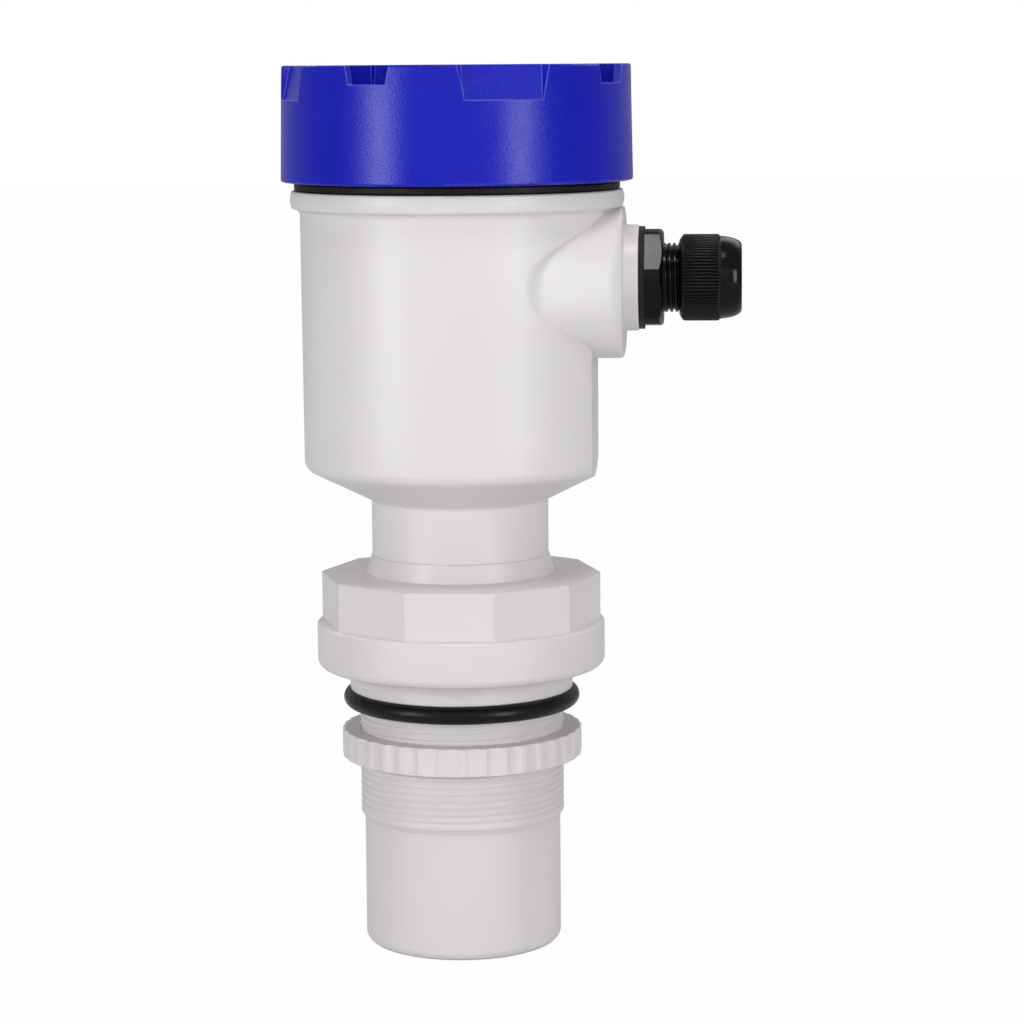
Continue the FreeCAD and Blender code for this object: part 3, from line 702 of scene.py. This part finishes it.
def body_lap(x, y, z):
    """Lies on the body round the boss's root, where it fades into the wall a little way off."""
    if x > side_flat_x - flat_lap_margin:
        return [(x * share, y * share, z) for share in flat_lap_shares]
    level = abs(z - boss_mid_z) / lap_half_z
    reach = lap_angle * max(lap_least_share, 1.0 - level ** 4)
    sunk = min(1.0, max(0.0, (level - lap_sink_start) / lap_sink_span))
    proud_r = wall_r(z) + lap_proud - lap_sink * sunk
    side = math.copysign(1.0, y)
    points = []
    for share, drop in lap_rows:
        bearing = math.atan2(abs(y), x) + reach * share
        radius = proud_r - drop
        points.append((radius * math.cos(bearing), side * radius * math.sin(bearing), z))
    return points


def boss_skin_line(angle):
    """From the body's wall out along the boss, round its end edge and in to the seat."""
    start = share_at_wall(angle)
    last = 1.0 - boss_edge_round / (boss_end_x - boss_root_x)
    line = body_lap(*boss_point(angle, start))
    for i in range(boss_rows + 1):
        line.append(boss_point(angle, start + (last - start) * i / boss_rows))
    for i in range(boss_edge_rows):
        turn = math.pi / 2 * (i + 1) / boss_edge_rows
        inset = boss_edge_round * (1 - math.cos(turn))
        y, z = boss_outline_point(angle, boss_end_half_y - inset, boss_half_z - inset, boss_end_power)
        line.append((boss_end_x - boss_edge_round * (1 - math.sin(turn)), y, z))
    bearing = math.atan2(z - gland_axis_z, y)
    line.append((boss_end_x, seat_inner_r * math.cos(bearing),
                 gland_axis_z + seat_inner_r * math.sin(bearing)))
    return line


def wall_above_line(bearing_deg):
    """Up the body's round wall over the boss, sunk into the solid at the two outer edges."""
    at_edge = abs(bearing_deg) == wall_above_half_deg
    proud = wall_above_proud - (wall_above_edge_drop if at_edge else 0.0)
    bearing = math.radians(bearing_deg)
    line = []
    for z in wall_above_heights:
        radius = wall_r(z) + proud
        line.append((radius * math.cos(bearing), radius * math.sin(bearing), z))
    return line


def boss_skin(materials):
    """The cable boss's outer surface and the round wall between it and the rim."""
    around = [boss_skin_line(2 * math.pi * i / boss_columns) for i in range(boss_columns)]
    bearings = range(-wall_above_half_deg, wall_above_half_deg + 1, wall_above_step_deg)
    above = [wall_above_line(bearing) for bearing in bearings]
    add_piece(closed_band(around), "boss_skin", "housing", materials["housing_white"])
    add_piece(open_band(above), "round_wall", "housing", materials["housing_white"])


def nut_dome_point(share):
    """Point of the nut's domed end, from its side to its nose."""
    turn = math.pi / 2 * share
    along = (nut_end_x - nut_dome_start_x) * math.sin(turn) ** nut_dome_rise_power
    side = (nut_dome_r - nut_dome_end_r) * math.cos(turn) ** nut_dome_side_power
    return nut_dome_start_x + along, nut_dome_end_r + side, 0.0


def nut_profile():
    """Along, radius and share of the ribs' depth, from the thread side round to the cable mouth."""
    low = nut_low_x
    bore = nut_low_bore_r
    grip_end = nut_grip_end_x
    side = nut_grip_r
    mouth_low = nut_end_x - nut_mouth_depth
    grip = [
        (low, bore, 0.0), (low, bore + 0.3, 0.0), (low + 0.1, bore + 0.7, 0.0),
        (low + 0.5, side - 1.0, 0.0), (low + 1.2, side - 0.1, 0.8), (low + 1.6, side, 1.0),
        (grip_end - 0.8, side, 1.0), (grip_end - 0.4, side - 0.1, 0.9), (grip_end, side - 0.5, 0.2),
        (grip_end + 0.3, nut_groove_r, 0.0)]
    dome = [nut_dome_point(i / nut_dome_rows) for i in range(nut_dome_rows + 1)]
    mouth = [
        (nut_end_x, nut_lip_r, 0.0), (nut_end_x - 0.15, nut_lip_r - 0.5, 0.0),
        (nut_end_x - 0.6, nut_mouth_r, 0.0), (mouth_low, nut_mouth_r, 0.0),
        (mouth_low, nut_inner_r, 0.0), (low, bore, 0.0)]
    return grip + dome + mouth


def nut_line(profile, column):
    """The nut's profile at one column, on a rib, between two or on a rib's side."""
    angle = 2 * math.pi * column / (nut_rib_count * nut_rib_columns)
    crest = 0.5 + 0.5 * math.cos(2 * math.pi * column / nut_rib_columns)
    groove = nut_rib_depth * (1 - min(1.0, nut_rib_flatness * crest))
    line = []
    for along, radius, ribbed in profile:
        reach = radius - groove * ribbed
        line.append((along, reach * math.cos(angle), gland_axis_z + reach * math.sin(angle)))
    return line


def compression_nut(materials):
    """Stands for the gland's dome nut, with its fine ribs and the rounder dome of the photograph."""
    profile = nut_profile()
    mesh = closed_band([nut_line(profile, i) for i in range(nut_rib_count * nut_rib_columns)])
    bmesh.ops.remove_doubles(mesh, verts=mesh.verts, dist=weld_distance)
    node = "gland_dome_nut"
    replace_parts(add_piece(mesh, "ribbed_dome_nut", node, materials["gland_black"]), node)


# Studio

def seen_share(tree, glossy_share):
    """1 for rays from the camera or through glass, glossy_share for mirrored rays, else 0."""
    path = tree.nodes.new("ShaderNodeLightPath")
    mirrored = tree.nodes.new("ShaderNodeMath")
    mirrored.operation = "MULTIPLY"
    mirrored.inputs[1].default_value = glossy_share
    tree.links.new(path.outputs["Is Glossy Ray"], mirrored.inputs[0])
    direct = tree.nodes.new("ShaderNodeMath")
    direct.operation = "MAXIMUM"
    tree.links.new(path.outputs["Is Camera Ray"], direct.inputs[0])
    tree.links.new(path.outputs["Is Transmission Ray"], direct.inputs[1])
    either = tree.nodes.new("ShaderNodeMath")
    either.operation = "MAXIMUM"
    tree.links.new(direct.outputs[0], either.inputs[0])
    tree.links.new(mirrored.outputs[0], either.inputs[1])
    return either.outputs[0]


def floor_material():
    """White floor: seen rays find mostly plain white, and the object's shadow stays faintly."""
    material, tree, shader = new_material("studio_floor")
    shader.inputs["Base Color"].default_value = (floor_grey, floor_grey, floor_grey, 1.0)
    shader.inputs["Roughness"].default_value = 0.9
    shader.inputs["Specular IOR Level"].default_value = 0.0
    glow = tree.nodes.new("ShaderNodeEmission")
    glow.inputs["Strength"].default_value = 1.0
    share = tree.nodes.new("ShaderNodeMath")
    share.operation = "MULTIPLY"
    share.inputs[1].default_value = floor_white_share
    mix = tree.nodes.new("ShaderNodeMixShader")
    output = next(node for node in tree.nodes if node.type == "OUTPUT_MATERIAL")
    tree.links.new(seen_share(tree, floor_mirrored_share), share.inputs[0])
    tree.links.new(share.outputs[0], mix.inputs["Fac"])
    tree.links.new(shader.outputs["BSDF"], mix.inputs[1])
    tree.links.new(glow.outputs["Emission"], mix.inputs[2])
    tree.links.new(mix.outputs["Shader"], output.inputs["Surface"])
    return material


def floor():
    """Wide plain floor at the level of the sensing face."""
    mesh = bmesh.new()
    bmesh.ops.create_grid(mesh, x_segments=8, y_segments=8, size=6.0)
    data = bpy.data.meshes.new("floor")
    mesh.to_mesh(data)
    mesh.free()
    plane = bpy.data.objects.new("floor", data)
    bpy.context.scene.collection.objects.link(plane)
    data.materials.append(floor_material())


def studio_world():
    """Even fill light, with a white background for the rays that see it."""
    world = bpy.data.worlds.new("studio")
    bpy.context.scene.world = world
    world.use_nodes = True
    tree = world.node_tree
    tree.nodes.clear()
    output = tree.nodes.new("ShaderNodeOutputWorld")
    light = tree.nodes.new("ShaderNodeBackground")
    light.inputs["Color"].default_value = (1.0, 0.985, 0.99, 1.0)
    light.inputs["Strength"].default_value = world_fill
    white = tree.nodes.new("ShaderNodeBackground")
    white.inputs["Color"].default_value = (1.0, 1.0, 1.0, 1.0)
    white.inputs["Strength"].default_value = 1.0
    mix = tree.nodes.new("ShaderNodeMixShader")
    tree.links.new(seen_share(tree, world_mirrored_share), mix.inputs["Fac"])
    tree.links.new(light.outputs["Background"], mix.inputs[1])
    tree.links.new(white.outputs["Background"], mix.inputs[2])
    tree.links.new(mix.outputs["Shader"], output.inputs["Surface"])


def softbox(name, around_deg, up_deg, distance, size, radiance):
    """Rectangular lamp; around_deg is its bearing from the camera's side, positive to the right."""
    bearing = camera_azimuth + math.radians(around_deg)
    height = math.radians(up_deg)
    level = math.cos(height)
    away = Vector((math.sin(bearing) * level, -math.cos(bearing) * level, math.sin(height)))
    lamp = bpy.data.lights.new(name, "AREA")
    lamp.shape = "RECTANGLE"
    lamp.size = size[0]
    lamp.size_y = size[1]
    lamp.energy = radiance * lamp_power * size[0] * size[1]
    holder = bpy.data.objects.new(name, lamp)
    bpy.context.scene.collection.objects.link(holder)
    holder.location = studio_aim + away * distance
    holder.rotation_mode = "QUATERNION"
    holder.rotation_quaternion = (-away).to_track_quat("-Z", "Y")


def studio():
    floor()
    studio_world()
    softbox("softbox_left", -49, 8, distance=1.3, size=(0.3, 0.64), radiance=7.6)
    softbox("softbox_right", 42, 8, distance=1.3, size=(0.25, 0.64), radiance=8.4)
    softbox("softbox_front", 0, 16, distance=1.5, size=(1.3, 0.8), radiance=0.46)
    softbox("softbox_top", 8, 68, distance=1.2, size=(0.28, 0.22), radiance=14.0)
    softbox("softbox_back_left", -150, 40, distance=1.4, size=(0.8, 0.7), radiance=1.3)
    softbox("softbox_back_right", 150, 40, distance=1.4, size=(0.8, 0.7), radiance=1.3)


def photo_camera():
    """Camera at the height of the object's top, turned and shifted as the photograph's was."""
    side = Vector((math.cos(camera_azimuth), math.sin(camera_azimuth), 0))
    towards = Vector((math.sin(camera_azimuth), -math.cos(camera_azimuth), 0))
    top = cad_box[1].z
    lens = bpy.data.cameras.new("photo_camera")
    lens.lens = camera_lens
    lens.sensor_width = camera_sensor
    lens.shift_y = camera_shift_y
    lens.clip_start = 0.01
    camera = bpy.data.objects.new("photo_camera", lens)
    bpy.context.scene.collection.objects.link(camera)
    place = towards * camera_distance + side * camera_aside + Vector((0, 0, top))
    turn = Matrix.Rotation(camera_azimuth, 4, "Z")
    tilt = Matrix.Rotation(math.pi / 2 - camera_pitch, 4, "X")
    roll = Matrix.Rotation(camera_roll, 4, "Z")
    camera.matrix_world = Matrix.Translation(place) @ turn @ tilt @ roll
    bpy.context.scene.camera = camera


def look():
    bpy.context.scene.view_settings.view_transform = "Standard"


finish_for = finishes()
dress_solids(finish_for)
cut_threads(finish_for)
boss_skin(finish_for)
compression_nut(finish_for)
studio()
photo_camera()
look()
